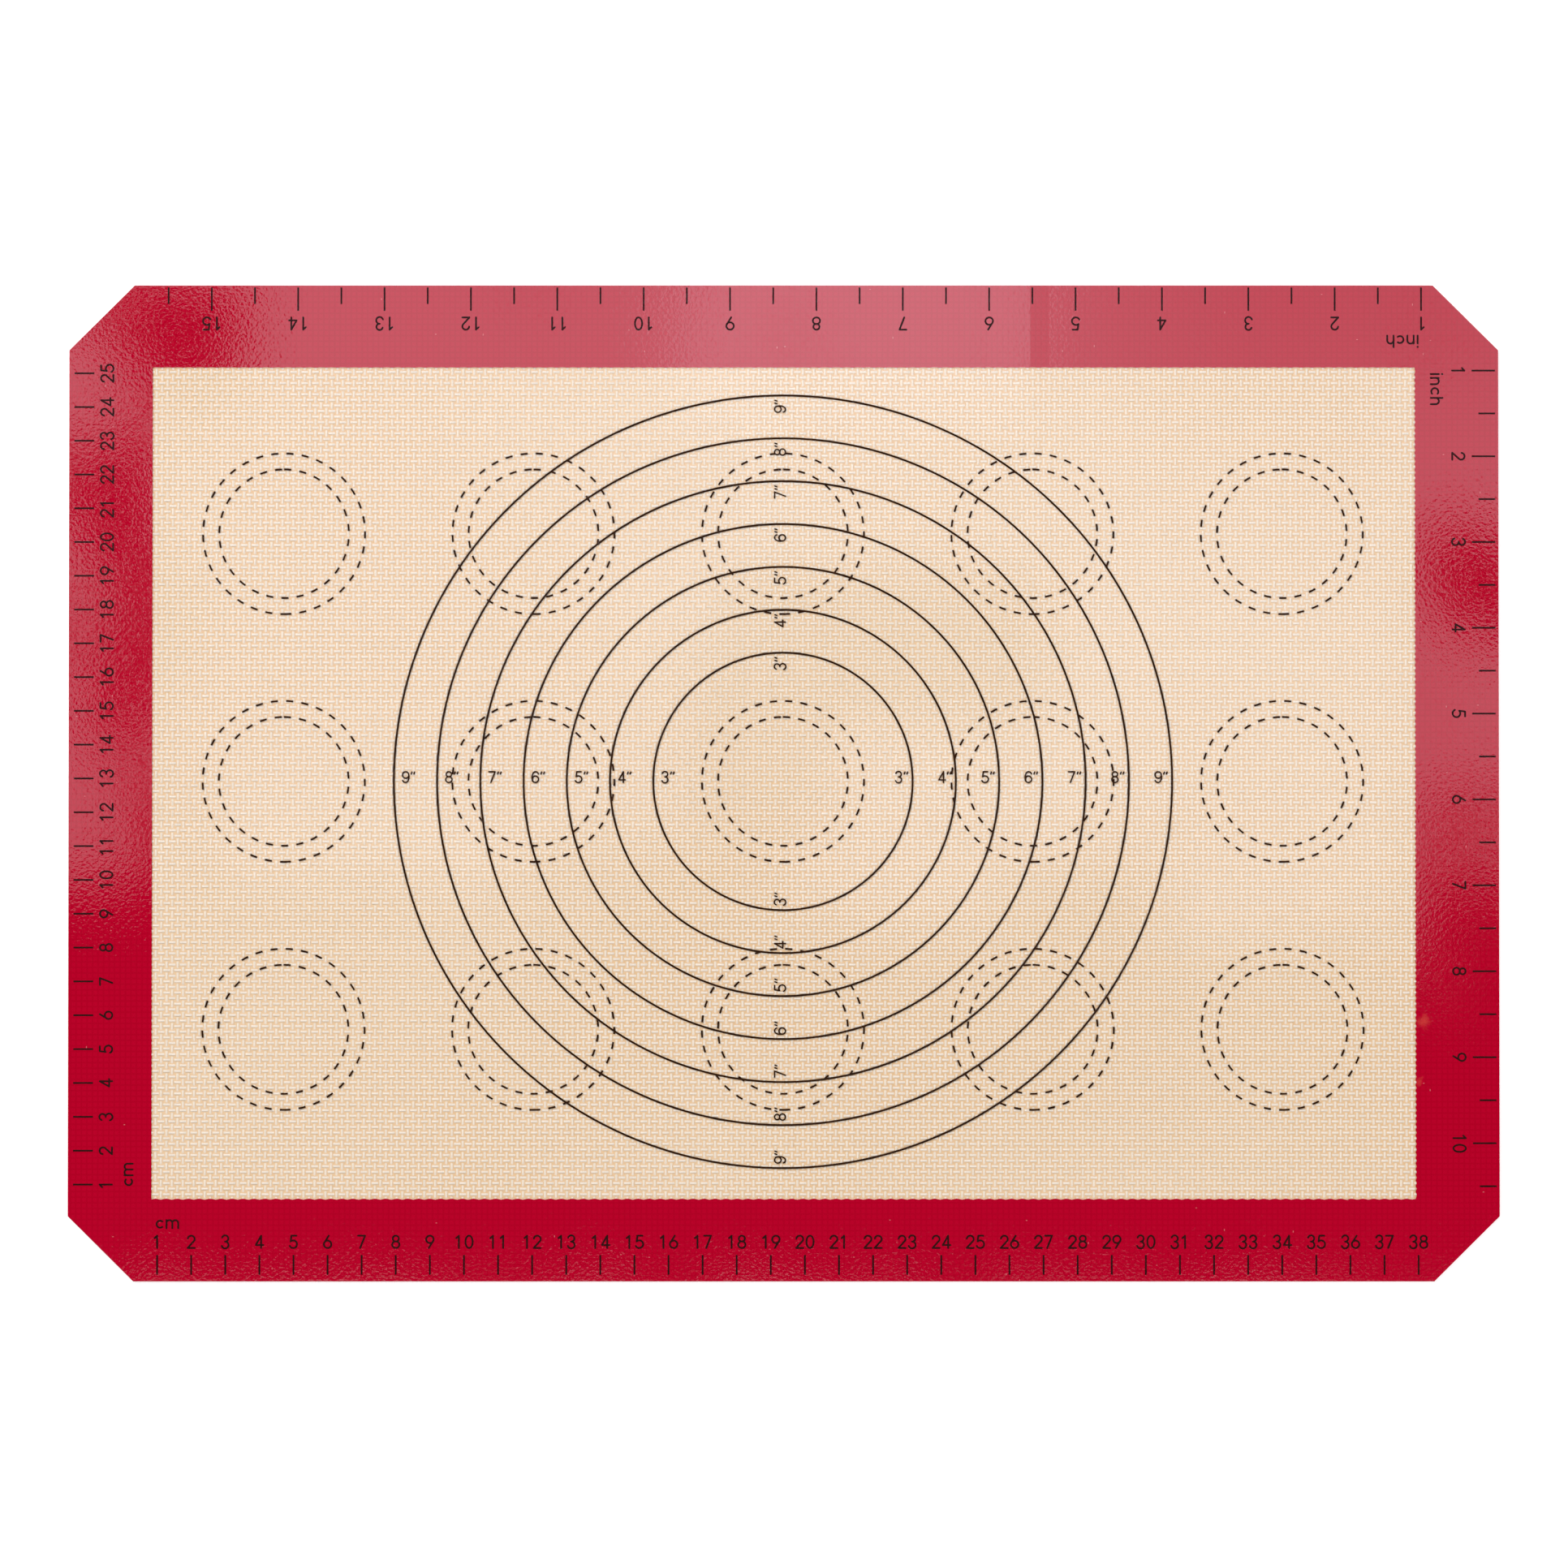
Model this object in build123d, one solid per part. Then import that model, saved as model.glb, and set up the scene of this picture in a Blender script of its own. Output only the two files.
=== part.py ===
"""Silicone baking mat for a half-size tray: a glass cloth sealed between two coats of silicone,
with a red band printed round the edge and black measuring marks printed on top.

The mat lies flat. Its underside is at height zero, its middle is at the origin, and its long
side runs along X. All lengths are in millimetres, and all angles are in degrees.
"""

import math
import os

from build123d import *

# The sheet and its layers, from the bottom up
mat_length = 420.0
mat_width = 294.5
corner_cut = 19.2
coat_thickness = 0.14
cloth_thickness = 0.44
band_width = 24.5
band_film = 0.05
ink_film = 0.03

# The steps of the rulers: a centimetre, and half an inch
cm_pitch = 10.0
inch_pitch = 12.7

# The tick marks: line width, and length of each kind
tick_line = 0.5
cm_tick_length = 5.8
long_tick_length = 6.9
half_tick_length = 4.9

# Where each ruler starts, measured along the edge from the end of the corner cut
bottom_start_gap = 7.0
left_start_gap = 9.3
top_start_gap = 3.4
right_start_gap = 6.0
ruler_end_gap = 3.8

# How far the tick marks, the numerals' middles and the unit word's middle lie from the edge
bottom_tick_edge = 1.9
bottom_numeral_edge = 11.6
bottom_unit_edge = 16.8
left_tick_edge = 1.5
left_numeral_edge = 11.1
left_unit_edge = 17.8
top_tick_edge = 0.55
top_numeral_edge = 11.25
top_unit_edge = 16.0
right_tick_edge = 0.9
right_numeral_edge = 11.7
right_unit_edge = 18.6

# The lettering: how far a unit word lies past the first tick mark, and its characters' sizes
cm_unit_shift = 3.0
inch_unit_shift = 5.5
numeral_height = 4.15
numeral_pitch = 3.0
ruler_pen = 0.52
letter_height = 2.9
letter_gap = 1.15

# The solid pastry rings, whose sizes are counts of one step. The largest clears the band by
# the margin, which makes the step one inch.
smallest_ring_count = 3
largest_ring_count = 9
ring_margin = 8.45
ring_line = 0.55

# The rings' size labels: character sizes, distance in from the ring, and places on the ring
label_height = 3.6
label_pen = 0.42
side_label_inset = 3.8
side_label_rise = 1.25
side_label_shift = 0.55
end_label_inset = 3.25
end_label_shift = 0.85
digit_inset = 0.85
inch_mark_gap = 0.72
inch_mark_step = 0.8
inch_mark_height = 0.55
inch_mark_slant = 0.18
inch_mark_drop = 0.1

# The printed field's middle, which lies a little off the mat's own
print_x = -0.25
print_y = 0.4

# The pairs of dashed guide rings for portions of dough, in a grid that fills the window but
# for a margin at its ends and at its sides
guide_column_count = 5
guide_row_count = 3
guide_end_margin = 15.1
guide_side_margin = 25.65
guide_outer = 47.6
guide_inner = 38.1
guide_line = 0.55
dash_length = 2.12
dash_pitch = 4.5
outer_seam_angle = 270
inner_seam_angle = 90
smallest_speck = 0.3

# Sizes worked out from those above
window_length = mat_length - 2 * band_width
window_width = mat_width - 2 * band_width
sheet_top = 2 * coat_thickness + cloth_thickness
band_top = sheet_top + band_film
ring_step = (window_width - 2 * ring_margin) / largest_ring_count
column_pitch = (window_length - guide_outer - 2 * guide_end_margin) / (guide_column_count - 1)
row_pitch = (window_width - guide_outer - 2 * guide_side_margin) / (guide_row_count - 1)

# Centre lines of the characters, as shares of the height of their own centre line.
# A stroke is a start and its steps: two shares run straight to a point, and four shares
# follow an arc through the first pair to the second. A ring is its centre and half widths.
digit_stroke_shares = {
    "0": [],
    "1": [[(0.29, 0.0), (0.29, 1.0)], [(0.08, 0.80), (0.27, 0.97)]],
    "2": [[(0.014, 0.757), (0.29, 1.0, 0.534, 0.595), (0.0, 0.0), (0.57, 0.0)]],
    "3": [
        [(0.034, 0.842), (0.53, 0.76, 0.27, 0.52)],
        [(0.27, 0.52), (0.55, 0.26, 0.006, 0.171)],
    ],
    "4": [[(0.43, 0.0), (0.43, 1.0)], [(0.43, 1.0), (0.0, 0.24), (0.61, 0.24)]],
    "5": [
        [(0.52, 1.0), (0.12, 1.0), (0.06, 0.532)],
        [(0.06, 0.532), (0.58, 0.30, -0.01, 0.17)],
    ],
    "6": [[(0.38, 1.0), (0.0332, 0.4385)]],
    "7": [[(0.0, 1.0), (0.56, 1.0), (0.17, 0.0)]],
    "8": [],
    "9": [[(0.20, 0.0), (0.5468, 0.5615)]],
    "open 6": [[(0.0, 0.30), (-0.011, 0.593, 0.085, 0.87), (0.31, 1.0, 0.561, 0.807)]],
    "open 9": [[(0.58, 0.70), (0.591, 0.407, 0.495, 0.13), (0.27, 0.0, 0.019, 0.193)]],
}
digit_ring_shares = {
    "0": [(0.29, 0.5, 0.29, 0.5)],
    "6": [(0.29, 0.30, 0.30, 0.30)],
    "8": [(0.29, 0.765, 0.245, 0.235), (0.29, 0.27, 0.29, 0.27)],
    "9": [(0.29, 0.70, 0.30, 0.30)],
    "open 6": [(0.29, 0.30, 0.29, 0.30)],
    "open 9": [(0.29, 0.70, 0.29, 0.30)],
}
digit_centre_share = 0.29
digit_width_share = 0.58
letter_stroke_shares = {
    "c": [[(0.70, 0.84), (0.0, 0.5, 0.70, 0.16)]],
    "m": [
        [(0.0, 0.0), (0.0, 1.0)],
        [(0.0, 0.64), (0.36, 1.0, 0.72, 0.64), (0.72, 0.0)],
        [(0.72, 0.64), (1.08, 1.0, 1.44, 0.64), (1.44, 0.0)],
    ],
    "i": [[(0.0, 0.0), (0.0, 1.0)], [(0.0, 1.40), (0.0, 1.44)]],
    "n": [[(0.0, 0.0), (0.0, 1.0)], [(0.0, 0.60), (0.39, 1.0, 0.78, 0.60), (0.78, 0.0)]],
    "h": [[(0.0, 0.0), (0.0, 1.46)], [(0.0, 0.60), (0.39, 1.0, 0.78, 0.60), (0.78, 0.0)]],
}
letter_width_shares = {"c": 0.74, "m": 1.44, "i": 0.0, "n": 0.78, "h": 0.78}
label_style = {"6": "open 6", "9": "open 9"}

nodes = {}


def sheet_outline():
    """The mat's outline: a rectangle with its four corners cut off."""
    rectangle = Rectangle(mat_length, mat_width)
    return chamfer(rectangle.vertices(), corner_cut)


def stroke(shares, scale, pen):
    """One pen stroke along a centre line given in shares, with round ends."""
    x, y = shares[0]
    at = (x * scale, y * scale)
    edges = []
    for step in shares[1:]:
        points = [(step[i] * scale, step[i + 1] * scale) for i in range(0, len(step), 2)]
        if len(points) == 1:
            edges.append(Line(at, points[0]))
        else:
            edges.append(ThreePointArc(at, *points))
        at = points[-1]
    return Sketch() + Face(Wire(edges).offset_2d(pen / 2))


def oval(shares, scale, pen):
    """A closed round stroke, given by the shares of its centre and of its half widths."""
    x, y, half_width, half_height = [share * scale for share in shares]
    outer = Ellipse(half_width + pen / 2, half_height + pen / 2)
    inner = Ellipse(half_width - pen / 2, half_height - pen / 2)
    return Pos(x, y) * (outer - inner)


def character(strokes, rings, height, pen):
    """A character as one flat shape. Its strokes stay inside its height."""
    scale = height - pen
    shapes = [stroke(shares, scale, pen) for shares in strokes]
    shapes += [oval(shares, scale, pen) for shares in rings]
    return Pos(0, pen / 2) * (Sketch() + shapes)


def digit(name, height, pen):
    """A digit whose middle lies at the origin."""
    strokes = digit_stroke_shares[name]
    rings = digit_ring_shares.get(name, [])
    middle = digit_centre_share * (height - pen)
    return Pos(-middle, -height / 2) * character(strokes, rings, height, pen)


def numeral(number):
    """A whole number in the rulers' lettering, centred on the origin."""
    name = str(number)
    first = -numeral_pitch * (len(name) - 1) / 2
    places = [Pos(first + i * numeral_pitch, 0) for i in range(len(name))]
    return Sketch() + [place * digit_faces[figure] for place, figure in zip(places, name)]


def unit_word(word):
    """A unit's name in small letters, centred on the origin."""
    scale = letter_height - ruler_pen
    x = 0
    letters = []
    for name in word:
        letters.append(Pos(x, 0) * character(letter_stroke_shares[name], [], letter_height, ruler_pen))
        x += letter_width_shares[name] * scale + letter_gap
    width = x - letter_gap
    return Pos(-width / 2, -letter_height / 2) * (Sketch() + letters)


def ring_label(number):
    """A ring's size: its number and the two raised strokes that stand for inches."""
    name = str(number)
    figure = digit(label_style.get(name, name), label_height, label_pen)
    half_digit = digit_width_share * (label_height - label_pen) / 2
    foot = (label_height - label_pen) / 2 - inch_mark_drop - inch_mark_height
    marks = []
    for i in range(2):
        x = half_digit + inch_mark_gap + i * inch_mark_step
        line = Line((x, foot), (x + inch_mark_slant, foot + inch_mark_height))
        marks.append(Sketch() + Face(Wire([line]).offset_2d(label_pen / 2)))
    return Pos(-digit_inset, 0) * (Sketch() + [figure] + marks)


def solids_of(face_shape, height):
    """Film solids that stand on the given height, one for each separate face."""
    raised = [Pos(0, 0, height) * face for face in face_shape.faces()]
    return [Solid.extrude(face, Vector(0, 0, ink_film)) for face in raised]


def add_node(name, solids):
    """Keeps a node as a group of separate solids."""
    nodes[name] = Compound(label=name, children=solids)


def ruler(name, word, turn, facing, start, step, lengths, edges, word_shift):
    """A ruler along one edge of the mat: its tick marks, its numerals and its unit word.

    It is drawn from left to right along the bottom edge where facing is -1, or along the top
    edge where facing is 1, and then turned to its own edge. Its numerals count the longest
    tick marks, and the other lengths are those of the marks between them. The three edges
    are the distances of the tick marks, the numerals and the word from the mat's edge.
    """
    tick_edge, numeral_edge, word_edge = edges
    turned = turn % 180 != 0
    along, across = (mat_width, mat_length) if turned else (mat_length, mat_width)
    count = math.floor((along - 2 * corner_cut - start - ruler_end_gap) / step) + 1
    first = corner_cut + start - along / 2
    edge = across / 2
    ticks = []
    numerals = []
    for i in range(count):
        x = first + i * step
        length = lengths[i % len(lengths)]
        mark = Pos(x, facing * (edge - tick_edge - length / 2)) * Rectangle(tick_line, length)
        ticks += solids_of(Rot(0, 0, turn) * mark, band_top)
        if i % len(lengths) == 0:
            number = Pos(x, facing * (edge - numeral_edge)) * numeral(i // len(lengths) + 1)
            numerals += solids_of(Rot(0, 0, turn) * number, band_top)
    unit = Pos(first + word_shift, facing * (edge - word_edge)) * unit_word(word)
    add_node(name + "_ticks", ticks)
    add_node(name + "_numerals", numerals)
    add_node(name + "_unit", solids_of(Rot(0, 0, turn) * unit, band_top))


def ring_face(number):
    """A solid pastry ring whose diameter is its number of steps."""
    radius = number * ring_step / 2
    band = Circle(radius + ring_line / 2) - Circle(radius - ring_line / 2)
    return Pos(print_x, print_y) * band


def label_faces(number):
    """The four labels inside a ring: two read upright, and two read up the sheet."""
    radius = number * ring_step / 2
    label = ring_label(number)
    faces = []
    for side in (-1, 1):
        x = print_x + side_label_shift + side * (radius - side_label_inset)
        faces.append(Pos(x, print_y + side_label_rise) * label)
        y = print_y + side * (radius - end_label_inset)
        faces.append(Pos(print_x - end_label_shift, y) * Rot(0, 0, 90) * label)
    return faces


def dash(radius, start, sweep):
    """One dash of a dashed ring, as a piece of a round band."""
    outer = CenterArc((0, 0), radius + guide_line / 2, start, sweep)
    inner = CenterArc((0, 0), radius - guide_line / 2, start, sweep)
    ends = [Line(outer @ 0, inner @ 0), Line(outer @ 1, inner @ 1)]
    return make_face([outer, inner] + ends)


def dashed_ring(diameter, seam, way):
    """The dashes of one ring, laid on from the seam, one way round or the other.

    The space that is left before the seam gets one more dash if that fits. If not, the first
    dash begins early and fills it.
    """
    radius = diameter / 2
    pitch = math.degrees(dash_pitch / radius)
    sweep = math.degrees(dash_length / radius)
    count = math.floor(360 / pitch)
    spare = 360 - count * pitch
    dashes = [(i * pitch, sweep) for i in range(1, count)]
    if spare > sweep:
        dashes += [(0, sweep), (count * pitch, sweep)]
    else:
        dashes.append((-spare, spare + sweep))
    return [dash(radius, seam + way * start, way * length) for start, length in dashes]


def clear_of(face_shape, cutters):
    """A printed shape without the parts that other marks already cover, and without specks."""
    for cutter in cutters:
        face_shape = face_shape - cutter
    kept = [face for face in face_shape.faces() if face.area > smallest_speck * guide_line]
    return Sketch() + kept


def near(a, b):
    """Says whether two shapes' boxes meet."""
    a, b = a.bounding_box(), b.bounding_box()
    apart_x = a.min.X > b.max.X or b.min.X > a.max.X
    apart_y = a.min.Y > b.max.Y or b.min.Y > a.max.Y
    return not (apart_x or apart_y)


def crosses(shape, number):
    """Says whether a small shape may touch a ring: its box reaches the ring's line."""
    box = shape.bounding_box()
    middle = box.center()
    distance = math.hypot(middle.X - print_x, middle.Y - print_y)
    reach = math.hypot(box.size.X, box.size.Y) / 2 + ring_line / 2
    return abs(distance - number * ring_step / 2) <= reach


digit_faces = {name: digit(name, numeral_height, ruler_pen) for name in digit_stroke_shares}

# The bonded layers of the sheet
outline = sheet_outline()
layers = {
    "bottom_coat": (0, coat_thickness),
    "fibreglass_core": (coat_thickness, cloth_thickness),
    "top_coat": (coat_thickness + cloth_thickness, coat_thickness),
}
for name, (bottom, thickness) in layers.items():
    add_node(name, [Pos(0, 0, bottom) * extrude(outline, amount=thickness).solid()])

# The red band, a flat frame round the window
band_face = outline - Rectangle(window_length, window_width)
add_node("border_band", [Pos(0, 0, sheet_top) * extrude(band_face, amount=band_film).solid()])

# The four rulers. The numerals of the top and bottom ones stand with their feet on the tick
# marks, and those at the sides have their heads to them.
inch_tick_lengths = [long_tick_length, half_tick_length]
ruler(
    "cm_bottom", "cm", 0, -1, bottom_start_gap, cm_pitch, [cm_tick_length],
    (bottom_tick_edge, bottom_numeral_edge, bottom_unit_edge), cm_unit_shift,
)
ruler(
    "cm_left", "cm", 90, 1, left_start_gap, cm_pitch, [cm_tick_length],
    (left_tick_edge, left_numeral_edge, left_unit_edge), cm_unit_shift,
)
ruler(
    "inch_top", "inch", 180, -1, top_start_gap, inch_pitch, inch_tick_lengths,
    (top_tick_edge, top_numeral_edge, top_unit_edge), inch_unit_shift,
)
ruler(
    "inch_right", "inch", -90, 1, right_start_gap, inch_pitch, inch_tick_lengths,
    (right_tick_edge, right_numeral_edge, right_unit_edge), inch_unit_shift,
)

# The solid rings and their labels
ring_numbers = range(smallest_ring_count, largest_ring_count + 1)
rings = {number: ring_face(number) for number in ring_numbers}
labels = []
for number in ring_numbers:
    add_node(f"ring_{number}_inch", solids_of(rings[number], sheet_top))
    faces = [clear_of(label, [rings[number]]) for label in label_faces(number)]
    labels += faces
    add_node(f"ring_{number}_labels", [solid for face in faces for solid in solids_of(face, sheet_top)])

# The dashed guides, in a grid about the middle of the print
guide_dashes = dashed_ring(guide_outer, outer_seam_angle, 1)
guide_dashes += dashed_ring(guide_inner, inner_seam_angle, -1)
for row in range(guide_row_count):
    for column in range(guide_column_count):
        x = print_x + (column - (guide_column_count - 1) / 2) * column_pitch
        y = print_y + ((guide_row_count - 1) / 2 - row) * row_pitch
        solids = []
        for mark in guide_dashes:
            mark = Pos(x, y) * mark
            cutters = [rings[number] for number in ring_numbers if crosses(mark, number)]
            cutters += [label for label in labels if near(mark, label)]
            if cutters:
                mark = clear_of(mark, cutters)
            solids += solids_of(mark, sheet_top)
        add_node(f"guide_row{row + 1}_column{column + 1}", solids)

os.makedirs("parts", exist_ok=True)
for name, node in nodes.items():
    export_step(node, f"parts/{name}.step")
    box = node.bounding_box()
    print(name, len(node.solids()), "solids", f"{box.size.X:.1f} x {box.size.Y:.1f} x {box.size.Z:.2f}")
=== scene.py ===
# %% [markdown]
# Silicone baking mat
#
# This lesson dresses a half-sheet baking mat: a woven glass cloth sealed in silicone, with a red
# band printed round the edge and black measuring marks on top. The solid model comes in first and
# stays where it is, so every piece made here is placed by its measures.

# %% Load the solid model
import math

import bmesh
import bpy
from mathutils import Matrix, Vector


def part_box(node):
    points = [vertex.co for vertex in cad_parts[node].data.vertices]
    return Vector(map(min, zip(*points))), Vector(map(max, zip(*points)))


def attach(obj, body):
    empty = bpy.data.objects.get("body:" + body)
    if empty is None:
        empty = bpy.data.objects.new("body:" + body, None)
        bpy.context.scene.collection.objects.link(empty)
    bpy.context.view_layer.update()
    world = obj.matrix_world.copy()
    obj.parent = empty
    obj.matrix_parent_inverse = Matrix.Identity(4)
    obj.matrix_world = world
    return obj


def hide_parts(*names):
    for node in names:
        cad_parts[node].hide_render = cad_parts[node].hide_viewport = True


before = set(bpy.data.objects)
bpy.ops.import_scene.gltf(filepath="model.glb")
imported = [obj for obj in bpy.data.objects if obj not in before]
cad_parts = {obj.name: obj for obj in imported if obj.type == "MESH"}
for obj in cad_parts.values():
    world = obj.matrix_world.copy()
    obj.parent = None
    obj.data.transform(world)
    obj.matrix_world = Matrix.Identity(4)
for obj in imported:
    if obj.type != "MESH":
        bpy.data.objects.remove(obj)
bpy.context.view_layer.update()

print("solid nodes:", len(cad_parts))

# %% [markdown]
# Measures
#
# Everything is worked out in millimetres, because the mat is only 0.8 mm thick, and turned into
# Blender's metres at the last moment. The heights of the layers are read from the solid model, so
# the cloth, the band and the print stay in their own layers.

# %% Measures of the mat
MM = 0.001


def layer_height(node, top=True):
    """The height of a node's top or bottom, in millimetres."""
    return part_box(node)[1 if top else 0].z / MM


mat_half_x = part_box("top_coat")[1].x / MM
mat_half_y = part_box("top_coat")[1].y / MM
corner_cut = 19.2
band_width = 24.5
window_half_x = mat_half_x - band_width
window_half_y = mat_half_y - band_width
cloth_top = layer_height("fibreglass_core")
cloth_bottom = layer_height("fibreglass_core", top=False)
sheet_top = layer_height("top_coat")
band_top = layer_height("border_band")

warp_pitch = 1.61
weft_pitch = 1.655

print("mat", 2 * mat_half_x, "x", 2 * mat_half_y, "mm, cloth from", cloth_bottom, "to", cloth_top)

# %% [markdown]
# Helpers
#
# Both Geometry Nodes and materials are trees of nodes, so one small helper adds a node to either,
# sets its choices and fills its inputs in order: a socket is joined by a link, anything else is
# written in as a value.

# %% Helpers for node trees and meshes


def fill(tree, socket, value):
    """Links a socket to another one, or writes a value in it."""
    if isinstance(value, bpy.types.NodeSocket):
        tree.links.new(value, socket)
    else:
        socket.default_value = value


def add(tree, kind, *values, **choices):
    """Adds a node, sets its choices and fills its first visible inputs in order."""
    node = tree.nodes.new(kind)
    for choice, value in choices.items():
        setattr(node, choice, value)
    inputs = [socket for socket in node.inputs if socket.enabled]
    for socket, value in zip(inputs, values):
        fill(tree, socket, value)
    return node


def maths(tree, operation, *values):
    """A Math node of a material or a Geometry Nodes tree; returns its result."""
    return add(tree, "ShaderNodeMath", *values, operation=operation).outputs[0]


def new_material(name):
    """A material with one Principled shader, and its tree."""
    made = bpy.data.materials.new(name)
    made.use_nodes = True
    return made, made.node_tree, made.node_tree.nodes["Principled BSDF"]


def blend_colours(tree, share, first, second):
    """Mixes two colours by a share from 0 to 1; returns the colour."""
    node = add(tree, "ShaderNodeMix", data_type="RGBA")
    fill(tree, node.inputs[0], share)
    fill(tree, node.inputs[6], first)
    fill(tree, node.inputs[7], second)
    return node.outputs[2]


def remap(tree, value, low, high, to_low=0.0, to_high=1.0, smooth=False):
    """Stretches a range of values to another, and stops at its ends."""
    kind = "SMOOTHSTEP" if smooth else "LINEAR"
    node = add(tree, "ShaderNodeMapRange", value, low, high, to_low, to_high)
    node.interpolation_type = kind
    return node.outputs[0]


def place(tree):
    """The point on the piece in metres, as the three numbers X, Y and Z."""
    coordinates = add(tree, "ShaderNodeTexCoord")
    return add(tree, "ShaderNodeSeparateXYZ", coordinates.outputs["Object"])


def speckle(tree, per_metre, detail=2.0):
    """Soft noise with about so many lumps to the metre, from 0 to 1."""
    coordinates = add(tree, "ShaderNodeTexCoord")
    node = add(tree, "ShaderNodeTexNoise", coordinates.outputs["Object"])
    node.inputs["Scale"].default_value = per_metre
    node.inputs["Detail"].default_value = detail
    return node.outputs["Fac"]


def srgb(red, green, blue):
    """A colour given as 0 to 255 for the screen, as Blender's linear colour."""
    linear = []
    for part in (red, green, blue):
        share = part / 255
        linear.append(share / 12.92 if share <= 0.04045 else ((share + 0.055) / 1.055) ** 2.4)
    return (*linear, 1.0)


def link_object(name, mesh, material):
    """Puts a mesh in the scene as an object at the origin, with its material."""
    made = bpy.data.objects.new(name, mesh)
    bpy.context.scene.collection.objects.link(made)
    mesh.materials.clear()
    mesh.materials.append(material)
    return made


def count_triangles(piece):
    """How many triangles a piece has."""
    return sum(len(face.vertices) - 2 for face in piece.data.polygons)


print("helpers ready")

# %% [markdown]
# The camera
#
# The photograph was taken from far away with a long lens, almost straight down: the mat's sides
# run parallel, and it is only a little shorter than its true width. A lens of 1000 mm nearly
# thirteen metres away, tilted a few degrees, gives that. The tilt is measured from that
# shortening.

# %% Camera
view_width = 460.5 * MM
camera_tilt = math.radians(6.9)
aim = Vector((0.07, -0.34, 0.4)) * MM
lens = 1000.0
sensor = 36.0
camera_distance = view_width * lens / sensor

camera_data = bpy.data.cameras.new("camera")
camera_data.lens = lens
camera_data.sensor_width = sensor
camera_data.clip_start = 1.0
camera_data.clip_end = 60.0
camera = bpy.data.objects.new("camera", camera_data)
bpy.context.scene.collection.objects.link(camera)
camera_place = Vector((0.0, -math.sin(camera_tilt), math.cos(camera_tilt))) * camera_distance
camera.location = camera_place + aim
camera.rotation_euler = (camera_tilt, 0.0, 0.0)
bpy.context.scene.camera = camera
bpy.context.scene.view_settings.view_transform = "Standard"

print("camera at", [round(part, 3) for part in camera.location])

# %% [markdown]
# The room
#
# The mat lies on a plain white floor in a soft white room. The room is pale round the horizon and
# dark overhead, as in a studio with a dark ceiling, because the mat mirrors what is overhead, and
# a bright ceiling would lay a grey veil over the red and the black. The camera itself, and what
# is seen straight through a clear thing, gets plain white. The floor is matt and gives a little of
# its own light to the camera only, so that it shows pure white but still takes the mat's shadow.

# %% Floor and world
floor_half = 20.0
room_level = 0.95
ceiling_level = 0.03
pale_below = 0.5
dark_above = 0.85
floor_lift = 0.45
white = (1.0, 1.0, 1.0, 1.0)

world = bpy.data.worlds.new("studio")
bpy.context.scene.world = world
world.use_nodes = True
tree = world.node_tree
tree.nodes.clear()
direction = add(tree, "ShaderNodeTexCoord").outputs["Generated"]
rise = add(tree, "ShaderNodeSeparateXYZ", direction).outputs["Z"]
around = remap(tree, rise, pale_below, dark_above, room_level, ceiling_level, smooth=True)
path = add(tree, "ShaderNodeLightPath")
straight = maths(
    tree, "MAXIMUM", path.outputs["Is Camera Ray"], path.outputs["Is Transmission Ray"]
)
room = add(tree, "ShaderNodeBackground", white, around)
backdrop = add(tree, "ShaderNodeBackground", white, 1.0)
seen = add(tree, "ShaderNodeMixShader", straight, room.outputs[0], backdrop.outputs[0])
add(tree, "ShaderNodeOutputWorld", seen.outputs[0])

floor_material, tree, shader = new_material("studio_floor")
shader.inputs["Base Color"].default_value = (0.9, 0.9, 0.9, 1.0)
shader.inputs["Roughness"].default_value = 1.0
shader.inputs["Specular IOR Level"].default_value = 0.0
shader.inputs["Emission Color"].default_value = white
path = add(tree, "ShaderNodeLightPath")
fill(
    tree,
    shader.inputs["Emission Strength"],
    maths(tree, "MULTIPLY", path.outputs["Is Camera Ray"], floor_lift),
)
floor_mesh = bpy.data.meshes.new("floor")
floor_mesh.from_pydata(
    [(x * floor_half, y * floor_half, 0.0) for x, y in ((-1, -1), (1, -1), (1, 1), (-1, 1))],
    [],
    [(0, 1, 2, 3)],
)
floor = link_object("floor", floor_mesh, floor_material)

print("world level", room_level)

# %% [markdown]
# Lamps
#
# Two large soft lamps stand to the far left and the near right, well away from the line in which
# the mat mirrors the camera. They round the yarns a little and leave the colours as written.

# %% Lamps
lamp_size = 1.2


def soft_lamp(name, where, watts):
    """A square area lamp that looks at the middle of the mat."""
    data = bpy.data.lights.new(name, "AREA")
    data.size = lamp_size
    data.energy = watts
    lamp = bpy.data.objects.new(name, data)
    lamp.location = where
    lamp.rotation_euler = (-Vector(where)).to_track_quat("-Z", "Y").to_euler()
    lamp.visible_camera = False
    bpy.context.scene.collection.objects.link(lamp)
    return lamp


soft_lamp("lamp_far_left", (-1.5, 1.3, 1.7), 44.0)
soft_lamp("lamp_near_right", (1.6, -1.0, 1.6), 22.0)
print("lamps: 2")

# %% [markdown]
# The mirrored softbox
#
# The upper half of the mat mirrors a soft light that hangs over its far side. Gloss is easiest to
# steer with a real light in the right place: a sheet that only mirrors can see, hung where the mat
# mirrors the camera. The parts of it that are lit are given in the mat's own millimetres and carried
# up to the sheet's height along the mirrored lines of sight. A real mat never lies quite flat, so
# the light's edges wander, and in places only some of it is caught. Noise added to the cover before
# it is cut off sharply gives both: ragged edges, and islands where the cover is a half. The fine
# relief of the mat's skin then breaks the islands up into grain.

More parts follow.
